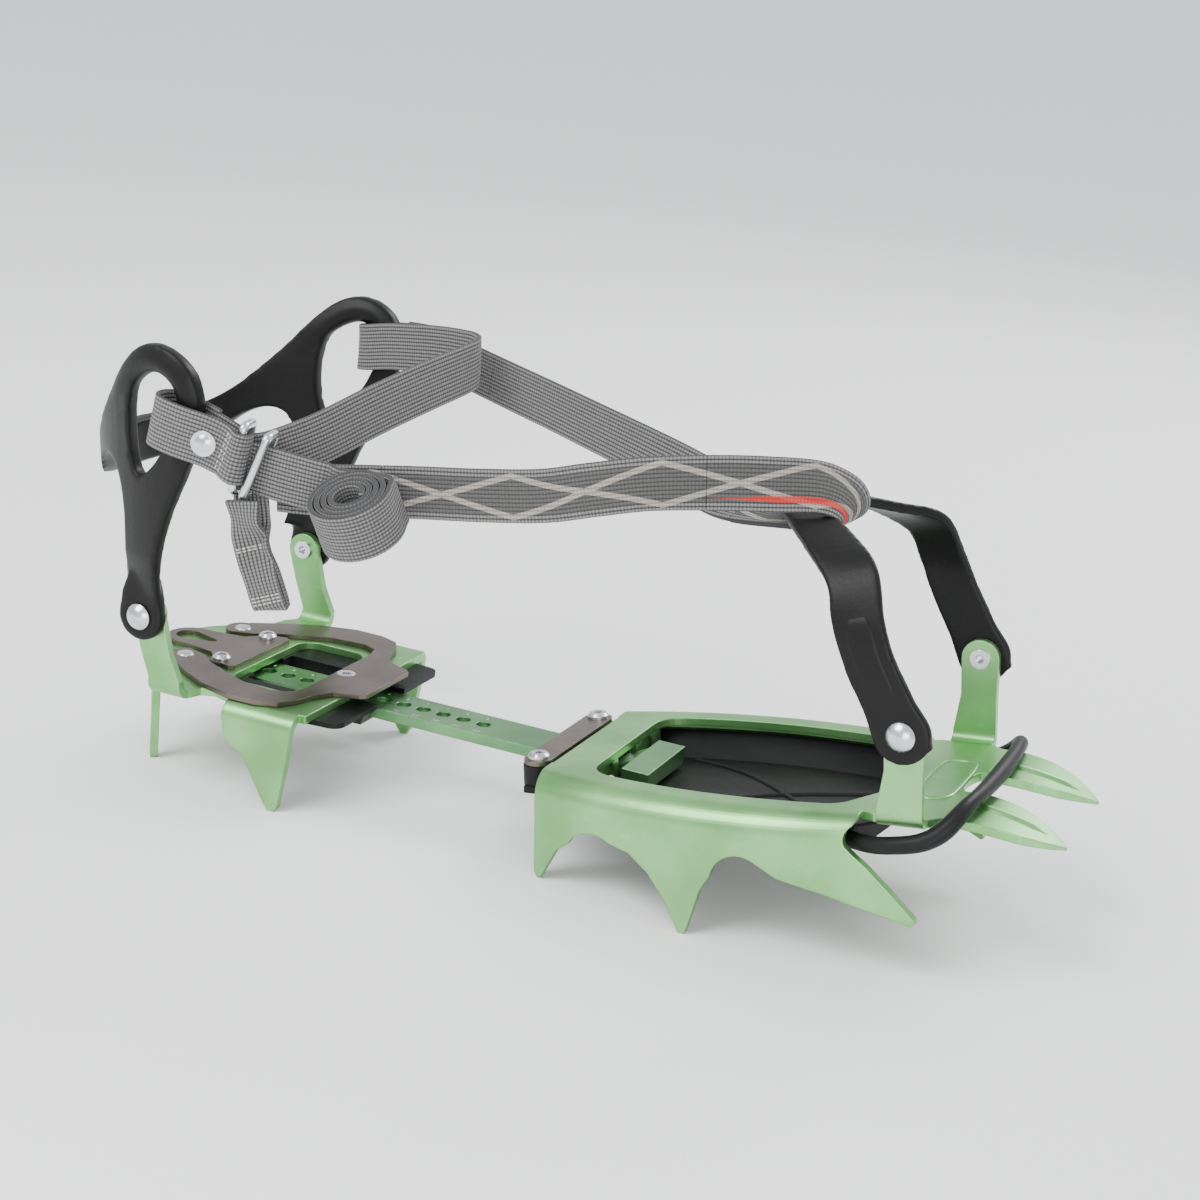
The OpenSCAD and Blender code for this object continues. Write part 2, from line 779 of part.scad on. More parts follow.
module heel_cage() {
    lean = tan(cage_lean);
    base = cage_r - lean * cage_rivet_z;
    foot_z = 24;
    full_z = 42;
    head_z = 115;
    color(plastic)
        difference() {
            union() {
                difference() {
                    intersection() {
                        translate([cage_cx, 0, 0])
                            rotate_extrude($fn = 120)
                                polygon([
                                    [base - cage_t / 2 + foot_z * lean, foot_z],
                                    [base + 0.8, foot_z],
                                    [base + cage_t / 2 + full_z * lean, full_z],
                                    [base + cage_t / 2 + head_z * lean, head_z],
                                    [base - cage_t / 2 + head_z * lean, head_z]
                                ]);
                        translate([0, 70, 0])
                            rotate([90, 0, 0])
                                linear_extrude(140)
                                    cage_outline();
                    }
                    // flat inner face beside each post
                    both_sides()
                        translate([-64, 30, 10]) cube([26, 15.6, 19]);
                }
                both_sides()
                    translate([0, 50, 0])
                        rotate([90, 0, 0])
                            linear_extrude(4.4)
                                union() {
                                    translate([cage_rivet_x, cage_rivet_z]) circle(r = 7.6);
                                    polygon([[-59.1, 22], [-43.9, 22], [-44.8, 29], [-46.4, 35],
                                        [-56, 35], [-58.4, 29]]);
                                }
            }
            both_sides()
                cross_pin(cage_rivet_x, cage_rivet_z, rivet_d + 2 * run_gap, 40, 55);
        }
}

// ---------------------------------------------------------------- straps and buckle

// Straps keep clear of the rings and the cage; the webbing itself wraps round them.
loop_rows = [
    [-36, -61.6, 86, 0.16, 0.05, 1], [-30, -62.6, 84.8, 0.16, 0.05, 1],
    [-24, -61.6, 83.4, 0.16, 0.05, 1], [-16.6, -58.6, 81.6, 0.16, 0.05, 1]
];

module buckle_loop() {
    color(webbing)
        band(loop_rows, web_w, 1.4);
}

module buckle_loop_rivet() {
    color(zinc)
        translate([-22.8, -62.1, 82.6])
            rotate([90, 0, 14]) {
                translate([0, 0, 0.15]) cylinder(d = 7.4, h = 0.7);
                translate([0, 0, 0.7])
                    intersection() {
                        translate([0, 0, -3.4]) sphere(r = 4.4);
                        cylinder(d = 6.8, h = 2);
                    }
            }
}

// A wire ring of rounded rectangular shape, upright, facing forward
module wire_ring(w, h, d) {
    rotate([90, 0, 90]) {
        for (s = [-1, 1]) {
            translate([s * w / 2, 0, 0])
                rotate([90, 0, 0])
                    cylinder(d = d, h = h, center = true, $fn = fine_fn);
            translate([0, s * h / 2, 0])
                rotate([0, 90, 0])
                    cylinder(d = d, h = w, center = true, $fn = fine_fn);
            for (t = [-1, 1])
                translate([s * w / 2, t * h / 2, 0])
                    sphere(d = d, $fn = fine_fn);
        }
    }
}

fixed_ring_at = [-13.6, -56.4, 79.4];
clamping_ring_at = [-8.6, -55.4, 77.6];

module fixed_ring() {
    color(zinc)
        translate(fixed_ring_at)
            rotate([0, 8, 12])
                wire_ring(7, 19, 2.6);
}

module clamping_ring() {
    color(zinc)
        translate(clamping_ring_at)
            rotate([0, 20, 12])
                wire_ring(7, 19, 2.6);
}

module release_tab() {
    color(webbing)
        band([[-10.4, -58, 66, 0.3, -1, 0], [-8, -58.2, 57, 0.3, -1, 0], [-4.4, -58, 47, 0.5, -1, 0],
            [-1, -57, 38, 0.7, -1, 0]], 9, 3.4);
}

ankle_rows = [
    [-4, -45.4, 80, -0.14, 0, 1], [0, -35, 84, -0.18, 0, 1], [6, -16, 90, -0.2, 0, 1],
    [11, 4, 94.6, -0.2, 0, 1], [14, 20, 97.4, -0.16, 0, 1], [14.6, 30, 98.6, -0.08, 0, 1],
    [10.6, 37, 98.8, 0, 0, 1], [2, 40.6, 98.4, 0, 0, 1], [-8, 43.4, 97.6, 0, 0, 1],
    [-19, 46, 96.6, 0, 0, 1]
];

module ankle_strap() {
    color(webbing)
        band(ankle_rows, web_w, web_t);
}

roll_at = [27, -62, 71.5];
roll_tilt = [26, -9, 0];

module strap_roll() {
    color(webbing)
        translate(roll_at)
            rotate(roll_tilt)
                difference() {
                    cylinder(d = 25, h = web_w, center = true);
                    cylinder(d = 4, h = web_w + 1, center = true);
                }
}

outer_rear_rows = [
    [-7, -52, 70.6, -0.05, 0, 1], [8, -49.6, 72.4, -0.05, 0, 1], [24, -47.2, 74.6, -0.06, 0, 1],
    [38, -46, 76.6, -0.06, 0, 1]
];
outer_middle_rows = [
    [38.4, -46, 76.6, -0.06, 0, 1], [56, -44.6, 79, -0.08, 0, 1], [74, -43, 82, -0.1, 0, 1]
];
outer_front_rows = [
    [74.4, -43, 82, -0.1, 0, 1], [88, -41, 86, -0.12, 0, 1], [102, -37, 90, -0.1, 0, 1],
    [114, -31.6, 92.8, 0.04, -0.3, 1]
];

module outer_strap_rear() {
    color(webbing)
        band(outer_rear_rows, web_w, web_t, 2);
}

module outer_strap_middle() {
    color(webbing)
        band(outer_middle_rows, web_w, web_t, 2);
}

module outer_strap_front() {
    color(webbing)
        band(outer_front_rows, web_w, web_t, 2);
}

inner_rear_rows = [
    [-20, 60.5, 93.6, 0, 0, 1], [0, 52, 91.8, 0.04, 0, 1], [20, 43.6, 89.8, 0.08, 0, 1],
    [38, 36, 88, 0.1, 0, 1]
];
inner_middle_rows = [
    [38.4, 35.8, 88, 0.1, 0, 1], [56, 28.4, 86, 0.12, 0.04, 1], [74, 20.8, 84, 0.14, 0.1, 1]
];
inner_front_rows = [
    [74.4, 20.6, 84, 0.14, 0.1, 1], [88, 15, 82.2, 0.2, 0.2, 1], [101, 9.6, 80.2, 0.3, 0.4, 1],
    [113, 5, 78.4, 0.36, 0.7, 0.7]
];

module inner_strap_rear() {
    color(webbing)
        band(inner_rear_rows, web_w, web_t, 2);
}

module inner_strap_middle() {
    color(webbing)
        band(inner_middle_rows, web_w, web_t, 2);
}

module inner_strap_front() {
    color(webbing)
        band(inner_front_rows, web_w, web_t, 2);
}

module basket_loop() {
    color(webbing)
        band([[118, -29, 93.6, 0.1, -0.5, 1], [130, -21.6, 93.4, 0.3, -0.9, 0.6],
            [143, -12, 90.6, 0.4, -1, 0.2], [148.4, -7, 86.2, 0.4, -1, 0], [146, -4, 80.6, 0.4, -1, 0],
            [134, -0.6, 78, 0.4, -1, 0], [116, 4, 77.4, 0.36, -0.8, -0.4]], web_w, web_t, 3);
}

heel_frame();
heel_anti_balling_plate();
bar_guide();
guide_screws();
spring_plate_rivets();
cage_rivets();
spring_plate();
locating_pin();
linking_bar();
front_frame();
front_anti_balling_plate();
plate_stretch_band();
keeper_strip();
keeper_screws();
toe_rivets();
toe_basket();
heel_cage();
buckle_loop();
buckle_loop_rivet();
fixed_ring();
clamping_ring();
release_tab();
ankle_strap();
strap_roll();
outer_strap_rear();
outer_strap_middle();
outer_strap_front();
inner_strap_rear();
inner_strap_middle();
inner_strap_front();
basket_loop();
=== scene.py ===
import math

import bmesh
import bpy
from mathutils import Matrix, Vector


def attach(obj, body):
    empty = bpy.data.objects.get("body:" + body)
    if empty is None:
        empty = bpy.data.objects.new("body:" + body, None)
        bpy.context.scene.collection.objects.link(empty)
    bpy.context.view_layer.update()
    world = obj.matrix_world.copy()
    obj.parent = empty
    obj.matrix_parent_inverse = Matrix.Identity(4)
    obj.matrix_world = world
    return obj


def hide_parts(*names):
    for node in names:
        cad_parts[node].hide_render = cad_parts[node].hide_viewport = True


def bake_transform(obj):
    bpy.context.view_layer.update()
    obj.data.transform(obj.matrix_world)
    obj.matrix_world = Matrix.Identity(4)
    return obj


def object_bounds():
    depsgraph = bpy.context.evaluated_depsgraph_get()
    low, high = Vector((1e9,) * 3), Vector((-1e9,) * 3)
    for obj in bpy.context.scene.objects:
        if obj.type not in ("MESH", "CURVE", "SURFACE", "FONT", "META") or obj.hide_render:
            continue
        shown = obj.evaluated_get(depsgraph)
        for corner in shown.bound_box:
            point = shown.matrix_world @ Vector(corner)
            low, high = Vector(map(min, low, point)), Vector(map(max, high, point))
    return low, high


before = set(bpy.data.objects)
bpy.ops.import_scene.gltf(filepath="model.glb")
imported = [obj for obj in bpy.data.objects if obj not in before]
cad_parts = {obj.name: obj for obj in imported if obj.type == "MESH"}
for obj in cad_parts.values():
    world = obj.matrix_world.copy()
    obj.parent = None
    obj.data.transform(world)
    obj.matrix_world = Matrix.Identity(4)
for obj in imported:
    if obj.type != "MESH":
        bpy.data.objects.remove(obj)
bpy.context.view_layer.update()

MM = 0.001

# webbing: all in millimetres, as are the values below
WEB_WIDTH = 15.0
WEB_THICK = 1.45
LAP = 7.0  # length where the front pieces cover the middle ones
LAP_THICK = 1.6  # just thicker than what it covers
RIB_PITCH = 1.15
PICK_PITCH = 1.0
FIGURE_LENGTH = 84.0  # one repeat of the crossed lines
FIGURE_REACH = 5.8
LINE_HALF = 0.8
PANEL_HALF = 5.4
STITCH_LIFT = 0.66

# front section: where it hangs on the bar in x and z, and its toe-up pitch
FRONT_HINGE = (76, -1.8)
FRONT_PITCH = math.radians(7.5)
POINT_START = 118  # the front points bend down from here
POINT_BEND = 60
PRESSED_Z = -0.3
RIB_Z = -10.9

# heel cage: the middle and radius of its arc at the rivets' height, and its lean outwards
CAGE_MIDDLE = -31.7
CAGE_RADIUS = 52.3
CAGE_RIVET_HEIGHT = 22
CAGE_LEAN = math.tan(math.radians(4))

# linking bar
BAR_TOP = -5.6
HOLE_PITCH = 7
PIN_PLACE = -8


# ------------------------------------------------------------------ camera and lamps


def set_camera():
    """The camera stands off the toe's outer side, a little above the boot sole."""
    azimuth, elevation, roll = (math.radians(a) for a in (22.918, 17.296, 5.424))
    target = Vector((75.09, 1.293, 41.43)) * MM
    back = Vector(
        (
            math.sin(azimuth) * math.cos(elevation),
            -math.cos(azimuth) * math.cos(elevation),
            math.sin(elevation),
        )
    )
    level = Vector((math.cos(azimuth), math.sin(azimuth), 0))
    up = back.cross(level)
    right = level * math.cos(roll) + up * math.sin(roll)
    tilted_up = up * math.cos(roll) - level * math.sin(roll)
    distance = 658.53
    lens = bpy.data.cameras.new("camera")
    lens.sensor_width = 36
    lens.lens = 67.0
    camera = bpy.data.objects.new("camera", lens)
    bpy.context.collection.objects.link(camera)
    turned = Matrix((right, tilted_up, back)).transposed().to_4x4()
    turned.translation = target + back * distance * MM
    camera.matrix_world = turned
    bpy.context.scene.camera = camera


def add_light(name, place, aim, size, power):
    """A square lamp at a place in metres that shines at another place."""
    lamp = bpy.data.lights.new(name, "AREA")
    lamp.size = size
    lamp.energy = power
    light = bpy.data.objects.new(name, lamp)
    bpy.context.collection.objects.link(light)
    light.location = place
    light.rotation_euler = (Vector(aim) - Vector(place)).to_track_quat("-Z", "Y").to_euler()


# ------------------------------------------------------------------ shader maths


class Num:
    """A shader value that takes part in Python expressions."""

    def __init__(self, finish, socket):
        self.finish, self.socket = finish, socket

    def maths(self, operation, *terms):
        values = [t.socket if isinstance(t, Num) else t for t in terms]
        made = self.finish.node("Math", {"operation": operation}, dict(enumerate(values)))
        return Num(self.finish, made.outputs[0])

    def __add__(self, other):
        return self.maths("ADD", self, other)

    def __sub__(self, other):
        return self.maths("SUBTRACT", self, other)

    def __rsub__(self, other):
        return self.maths("SUBTRACT", other, self)

    def __mul__(self, other):
        return self.maths("MULTIPLY", self, other)

    def __truediv__(self, other):
        return self.maths("DIVIDE", self, other)

    def __lt__(self, other):
        return self.maths("LESS_THAN", self, other)

    def __gt__(self, other):
        return self.maths("GREATER_THAN", self, other)

    def __abs__(self):
        return self.maths("ABSOLUTE", self)

    def sine(self):
        return self.maths("SINE", self)

    def part(self):
        return self.maths("FRACT", self)

    def highest(self, other):
        return self.maths("MAXIMUM", self, other)

    def step(self, low, high):
        """0 below low, 1 above high and smooth between them."""
        made = self.finish.node(
            "MapRange",
            {"interpolation_type": "SMOOTHSTEP"},
            {"Value": self.socket, "From Min": low, "From Max": high},
        )
        return Num(self.finish, made.outputs[0])


class Finish:
    """One material and its nodes."""

    def __init__(self, name, slot):
        self.slot = slot
        self.material = bpy.data.materials.new(name)
        self.material.use_nodes = True
        self.tree = self.material.node_tree
        self.shader = self.tree.nodes["Principled BSDF"]

    def node(self, kind, settings=None, values=None):
        """A node with its settings, and a value or a link for each of its inputs."""
        made = self.tree.nodes.new("ShaderNode" + kind)
        for key, value in (settings or {}).items():
            setattr(made, key, value)
        for key, value in (values or {}).items():
            value = value.socket if isinstance(value, Num) else value
            if isinstance(value, bpy.types.NodeSocket):
                self.tree.links.new(value, made.inputs[key])
            else:
                made.inputs[key].default_value = value
        return made

    def axes(self, socket):
        """The three parts of a vector."""
        split = self.node("SeparateXYZ", {}, {0: socket})
        return [Num(self, s) for s in split.outputs]

    def noise(self, scale, detail, stretch=None):
        """Cloudy values from 0 to 1 in the object's own space, with so many spots per metre."""
        where = self.node("TexCoord").outputs["Object"]
        if stretch:
            where = self.node("Mapping", {}, {"Vector": where, "Scale": stretch}).outputs[0]
        made = self.node("TexNoise", {}, {"Vector": where, "Scale": scale, "Detail": detail})
        return Num(self, made.outputs[0])

    def blend(self, share, low, high):
        """A colour between low and high."""
        made = self.node("Mix", {"data_type": "RGBA"}, {0: share})
        for index, colour in ((6, low), (7, high)):
            if isinstance(colour, bpy.types.NodeSocket):
                self.tree.links.new(colour, made.inputs[index])
            else:
                made.inputs[index].default_value = (*colour, 1)
        return made.outputs[2]

    def relief(self, height, depth, strength, base=None):
        """A normal raised by a height from 0 to 1 over a depth in metres."""
        values = {"Height": height, "Distance": depth, "Strength": strength}
        if base is not None:
            values["Normal"] = base
        return self.node("Bump", {}, values).outputs[0]

    def edge(self, radius):
        """A normal that looks rounded at sharp edges."""
        return self.node("Bevel", {"samples": 6}, {"Radius": radius}).outputs[0]

    def set(self, **values):
        """A value or a link for inputs of the finish's main shader."""
        names = {"colour": "Base Color", "sheen": "Sheen Weight", "specular": "Specular IOR Level"}
        for key, value in values.items():
            socket = self.shader.inputs[names.get(key, key.capitalize())]
            value = value.socket if isinstance(value, Num) else value
            if isinstance(value, bpy.types.NodeSocket):
                self.tree.links.new(value, socket)
            elif key == "colour":
                socket.default_value = (*value, 1)
            else:
                socket.default_value = value


def blasted_alloy(name, slot, dark, light, rough):
    """Bead-blasted sheet, anodised green, with faint cloudiness and rubbed spots."""
    f = Finish(name, slot)
    clouds = f.noise(38, 4)
    grain = f.noise(2600, 2)
    rubs = f.noise(90, 6, stretch=(1, 1, 3)).step(0.62, 0.72)
    tone = clouds.step(0.3, 0.7) * 0.75 + grain * 0.25
    colour = f.blend(tone, dark, light)
    f.set(
        colour=f.blend(rubs * 0.25, colour, [c * 1.15 for c in light]),
        metallic=0.9,
        roughness=grain * 0.16 + clouds * 0.1 + (rough - 0.13),
        normal=f.relief(grain, 0.00006, 0.5, f.edge(0.0006)),
    )
    return f


def bronzed_steel(name, slot):
    """Hardened strip steel with a brown heat finish, drawn along its length."""
    f = Finish(name, slot)
    streaks = f.noise(900, 3, stretch=(0.05, 1, 1))
    clouds = f.noise(55, 4)
    f.set(
        colour=f.blend(clouds.step(0.3, 0.7), (0.105, 0.083, 0.068), (0.17, 0.14, 0.118)),
        metallic=0.9,
        roughness=streaks * 0.12 + clouds * 0.14 + 0.22,
        normal=f.relief(streaks, 0.00004, 0.35, f.edge(0.0004)),
    )
    return f


def zinc_plate(name, slot):
    """Bright zinc, as on screws, rivets and ring wire."""
    f = Finish(name, slot)
    clouds = f.noise(240, 3)
    fine = f.noise(1800, 2)
    f.set(
        colour=f.blend(clouds, (0.50, 0.51, 0.53), (0.74, 0.75, 0.77)),
        metallic=1.0,
        roughness=fine * 0.12 + clouds * 0.1 + 0.14,
        normal=f.relief(fine, 0.00003, 0.3, f.edge(0.0003)),
    )
    return f


def moulded_plastic(name, slot):
    """Black nylon with a fine spark-eroded grain and a soft shine."""
    f = Finish(name, slot)
    grain = f.noise(1500, 3)
    clouds = f.noise(30, 3)
    f.set(
        colour=f.blend(clouds, (0.004, 0.004, 0.0042), (0.009, 0.0087, 0.0087)),
        roughness=grain * 0.14 + clouds * 0.1 + 0.3,
        specular=0.17,
        normal=f.relief(grain, 0.00008, 0.5),
    )
    return f


def flexible_plastic(name, slot):
    """Soft black plastic with shallow flow marks and dust in its grain."""
    f = Finish(name, slot)
    grain = f.noise(1100, 4)
    flow = f.noise(60, 5, stretch=(0.4, 1.4, 1))
    f.set(
        colour=f.blend(flow.step(0.35, 0.75), (0.005, 0.005, 0.0055), (0.013, 0.013, 0.0135)),
        roughness=grain * 0.16 + flow * 0.14 + 0.32,
        specular=0.17,
        normal=f.relief(grain * 0.4 + flow, 0.00022, 0.45),
    )
    return f


def woven_webbing(name, slot, figured=False, red_line=None):
    """Flat webbing: ribs along its length, crossed by the weft, with painted shade in the hollows
    between threads. Its map is in millimetres.
    """
    f = Finish(name, slot)
    along, across, _ = f.axes(f.node("UVMap").outputs[0])
    rib = across / RIB_PITCH
    pick = along / PICK_PITCH
    crown = abs((rib * math.pi).sine()) * (abs((pick * math.pi).sine()) * 0.6 + 0.4)
    fuzz = f.noise(1700, 3)
    # painted shade: the weave's colour goes dark in the hollows between threads and light on their
    # crowns, mixed with random fuzz
    tone = (crown * 0.8 + fuzz * 0.35 - 0.12).step(0.1, 0.78)
    colour = f.blend(tone, (0.026, 0.026, 0.027), (0.19, 0.187, 0.182))
    if figured:
        middle = across - WEB_WIDTH / 2
        panel = (abs(middle) < PANEL_HALF) * (crown * 0.35 + 0.4)
        colour = f.blend(panel, colour, (0.03, 0.03, 0.027))
        swing = (abs((along / FIGURE_LENGTH).part() - 0.5) * 4 - 1) * FIGURE_REACH
        rising, falling = (abs(m) < LINE_HALF for m in (middle - swing, middle + swing))
        crossed = rising.highest(falling)
        colour = f.blend(crossed * (crown * 0.4 + 0.45), colour, (0.40, 0.36, 0.31))
    if red_line:
        start, end = red_line
        swell = along.step(start, start + 12) * (1 - along.step(end - 22, end)) * 0.9
        line = (swell - abs(across - 3.4)) > 0
        colour = f.blend(line * (crown * 0.3 + 0.7), colour, (0.50, 0.012, 0.008))
    f.set(
        colour=colour,
        roughness=0.86 - tone * 0.12,
        sheen=0.08,
        normal=f.relief(crown + fuzz * 0.25, 0.00042, 0.9),
    )
    return f


def sewing_thread(name, slot):
    """Twisted pale sewing thread."""
    f = Finish(name, slot)
    twist = f.noise(2400, 2, stretch=(1, 1, 0.3))
    f.set(
        colour=f.blend(twist, (0.30, 0.28, 0.25), (0.52, 0.49, 0.45)),
        roughness=twist * 0.1 + 0.75,
        normal=f.relief(twist, 0.00005, 0.6),
    )
    return f


# ------------------------------------------------------------------ making pieces


def keep(name, mesh, finish):
    """A finished piece: its place is in its mesh."""
    piece = bpy.data.objects.new(name, mesh)
    bpy.context.collection.objects.link(piece)
    mesh.materials.clear()
    mesh.materials.append(finish.material)
    return piece


def bake(piece):
    """Applies the modifiers that a piece has."""
    bpy.context.view_layer.update()
    graph = bpy.context.evaluated_depsgraph_get()
    mesh = bpy.data.meshes.new_from_object(piece.evaluated_get(graph))
    piece.modifiers.clear()
    piece.data = mesh
    return piece


def smooth(piece):
    """Smooth shading on all of a piece."""
    for face in piece.data.polygons:
        face.use_smooth = True
    return piece


class Route:
    """A smooth line through rows of x, y, z and the direction across, in millimetres."""

    def __init__(self, rows, fineness=12):
        places = [Vector(r[:3]) for r in rows]
        widths = [Vector(r[3:6]) if len(r) > 3 else Vector((0, 0, 1)) for r in rows]
        self.places, self.widths, self.lengths = [], [], [0.0]
        for i in range(len(rows) - 1):
            ends = [max(i - 1, 0), i, i + 1, min(i + 2, len(rows) - 1)]
            for k in range(fineness + (i == len(rows) - 2)):
                t = k / fineness
                self.places.append(self.between([places[e] for e in ends], t))
                self.widths.append(self.between([widths[e] for e in ends], t))
        for a, b in zip(self.places, self.places[1:]):
            self.lengths.append(self.lengths[-1] + (b - a).length)
        self.length = self.lengths[-1]

    @staticmethod
    def between(p, t):
        """The value at a share t from the second to the third of four values."""
        return 0.5 * (
            2 * p[1]
            + (p[2] - p[0]) * t
            + (2 * p[0] - 5 * p[1] + 4 * p[2] - p[3]) * t * t
            + (3 * p[1] - p[0] - 3 * p[2] + p[3]) * t**3
        )

    def at(self, s):
        """Place, direction along and direction across at a distance along the line."""
        s = min(max(s, 0), self.length)
        i = 0
        while i < len(self.lengths) - 2 and self.lengths[i + 1] < s:
            i += 1
        span = self.lengths[i + 1] - self.lengths[i] or 1
        share = (s - self.lengths[i]) / span
        place = self.places[i].lerp(self.places[i + 1], share)
        before, after = self.places[max(i - 1, 0)], self.places[min(i + 2, len(self.places) - 1)]
        along = (after - before).normalized()
        across = self.widths[i].lerp(self.widths[i + 1], share)
        across = (across - along * across.dot(along)).normalized()
        return place, along, across

    def nearest(self, x, after=0.0):
        """Distance along the line of the first place past after that has this x."""
        for i in range(len(self.places) - 1):
            a, b = self.places[i].x, self.places[i + 1].x
            if self.lengths[i] >= after and (a - x) * (b - x) <= 0:
                share = abs(a - x) / (abs(a - b) or 1)
                return self.lengths[i] + (self.lengths[i + 1] - self.lengths[i]) * share
        return self.length


def flat_grid(columns, rows):
    """A flat grid that runs from 0 to 1 both ways."""
    bm = bmesh.new()
    bmesh.ops.create_grid(bm, x_segments=columns, y_segments=rows, size=0.5)
    low = [min(v.co[k] for v in bm.verts) for k in (0, 1)]
    high = [max(v.co[k] for v in bm.verts) for k in (0, 1)]
    for v in bm.verts:
        v.co = [(v.co[k] - low[k]) / (high[k] - low[k]) for k in (0, 1)] + [0]
    return bm


def webbing(name, route, start, end, finish, width=WEB_WIDTH, thick=WEB_THICK, sag=0.0):
    """A piece of webbing along part of a route, with a woven map in millimetres."""
    length = end - start
    bm = flat_grid(max(int(length / 1.2), 6), 8)
    layer = bm.loops.layers.uv.new("weave")
    for face in bm.faces:
        for loop in face.loops:
            u, v = loop.vert.co.xy
            loop[layer].uv = (start + u * length, v * width)
    for v in bm.verts:
        u, w = v.co.xy
        place, along, across = route.at(start + u * length)
        cup = across.cross(along) * sag * (1 - (2 * w - 1) ** 2)
        v.co = (place + across * (w - 0.5) * width + cup) * MM
    mesh = bpy.data.meshes.new(name)
    bm.to_mesh(mesh)
    bm.free()
    piece = keep(name, mesh, finish)
    wall = piece.modifiers.new("thickness", "SOLIDIFY")
    wall.thickness = thick * MM
    wall.offset = 0
    rim = piece.modifiers.new("rim", "BEVEL")
    rim.width = thick * 0.32 * MM
    rim.segments = 3
    rim.limit_method = "ANGLE"
    rim.angle_limit = math.radians(60)
    return smooth(bake(piece))


def tube(name, rows, radius, closed=False, taper=None):
    """The mesh of a round bar through points in millimetres."""
    curve = bpy.data.curves.new(name, "CURVE")
    curve.dimensions = "3D"
    curve.bevel_depth = radius * MM
    curve.bevel_resolution = 5
    curve.resolution_u = 6
    curve.use_fill_caps = True
    line = curve.splines.new("NURBS")
    line.points.add(len(rows) - 1)
    for k, (point, row) in enumerate(zip(line.points, rows)):
        point.co = (*(c * MM for c in row), 1)
        point.radius = taper[k] if taper else 1
    line.order_u = 4
    line.use_cyclic_u = closed
    line.use_endpoint_u = not closed
    piece = bpy.data.objects.new(name, curve)
    bpy.context.collection.objects.link(piece)
    bpy.context.view_layer.update()
    graph = bpy.context.evaluated_depsgraph_get()
    mesh = bpy.data.meshes.new_from_object(piece.evaluated_get(graph))
    bpy.data.objects.remove(piece)
    mesh.name = name
    return mesh


def wire(name, rows, radius, finish, closed=False, taper=None):
    """A round bar as a finished piece."""
    return smooth(keep(name, tube(name, rows, radius, closed, taper), finish))


def moulded(node, name, finish, cell, rounds, beads=()):
    """A CAD node's shape, thickened by beads, with its edges rounded as a mould leaves them."""
    bm = bmesh.new()
    bm.from_mesh(bpy.data.objects[node].data)
    for bead in beads:
        bm.from_mesh(bead)
    bmesh.ops.remove_doubles(bm, verts=bm.verts, dist=1e-6)
    mesh = bpy.data.meshes.new(name)
    bm.to_mesh(mesh)
    bm.free()
    piece = keep(name, mesh, finish)
    grid = piece.modifiers.new("cells", "REMESH")
    grid.mode = "VOXEL"
    grid.voxel_size = cell * MM
    soften = piece.modifiers.new("soften", "SMOOTH")
    soften.factor = 0.5
    soften.iterations = rounds
    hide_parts(node)
    return smooth(bake(piece))


def front_place(x, y, z):
    """A place in the front section's own millimetres, which start at its hinge."""
    hinge_x, hinge_z = FRONT_HINGE
    sine, cosine = math.sin(FRONT_PITCH), math.cos(FRONT_PITCH)
    return Vector((hinge_x + x * cosine - z * sine, y, hinge_z + x * sine + z * cosine))


set_camera()

# ------------------------------------------------------------------ finishes

green_sheet = blasted_alloy(
    "green_anodised_sheet", "green_alloy", (0.15, 0.38, 0.13), (0.29, 0.58, 0.24), 0.36
)
green_bar = blasted_alloy(
    "green_anodised_bar", "bar_alloy", (0.08, 0.22, 0.09), (0.18, 0.37, 0.17), 0.34
)
brown_steel = bronzed_steel("bronzed_steel", "spring_steel")
bright_zinc = zinc_plate("zinc_plate", "zinc_steel")
black_nylon = moulded_plastic("black_nylon", "black_plastic")
soft_plastic = flexible_plastic("flexible_plastic", "flexible_black")
thread = sewing_thread("sewing_thread", "grey_webbing")
plain_weave = woven_webbing("plain_webbing", "grey_webbing")
figured_weave = woven_webbing("figured_webbing", "grey_webbing", figured=True)

finish_of_node = {
    "heel_frame": green_sheet,
    "front_frame": green_sheet,
    "linking_bar": green_bar,
    "spring_plate": brown_steel,
    "bar_guide": brown_steel,
    "keeper_strip": brown_steel,
    "guide_screws": bright_zinc,
    "keeper_screws": bright_zinc,
    "spring_plate_rivets": bright_zinc,
    "cage_rivets": bright_zinc,
    "toe_rivets": bright_zinc,
    "locating_pin": bright_zinc,
    "buckle_loop_rivet": bright_zinc,
    "heel_anti_balling_plate": soft_plastic,
    "front_anti_balling_plate": soft_plastic,
}
for node, finish in finish_of_node.items():
    part = bpy.data.objects[node]
    part.data.materials.clear()
    part.data.materials.append(finish.material)

# ------------------------------------------------------------------ moulded pieces

# x, z and radius of the thick bar round each eye, which follows the cage's curve
EYE_BAR = (
    (-40.5, 66, 2.0), (-38.2, 70.6, 2.6), (-34.9, 75.6, 3.2), (-33, 80.5, 3.5), (-31.2, 87, 3.6),
    (-30.9, 93, 3.7), (-32.6, 98, 3.9), (-36.6, 101.6, 3.9), (-42, 103.2, 3.9), (-48, 101.4, 3.8),
    (-54, 96.8, 3.7), (-58.5, 91, 3.3), (-62, 86, 2.6), (-65, 82, 2.0),
)


def eye_bar(side):
    """The mesh of one thick bar, on the outer (-1) or inner (1) side."""
    rows = []
    for x, z, _ in EYE_BAR:
        reach = CAGE_RADIUS + CAGE_LEAN * (z - CAGE_RIVET_HEIGHT)
        rows.append((x, side * math.sqrt(reach**2 - (x - CAGE_MIDDLE) ** 2), z))
    return tube("eye_bar", rows, 1, taper=[radius for _, _, radius in EYE_BAR])


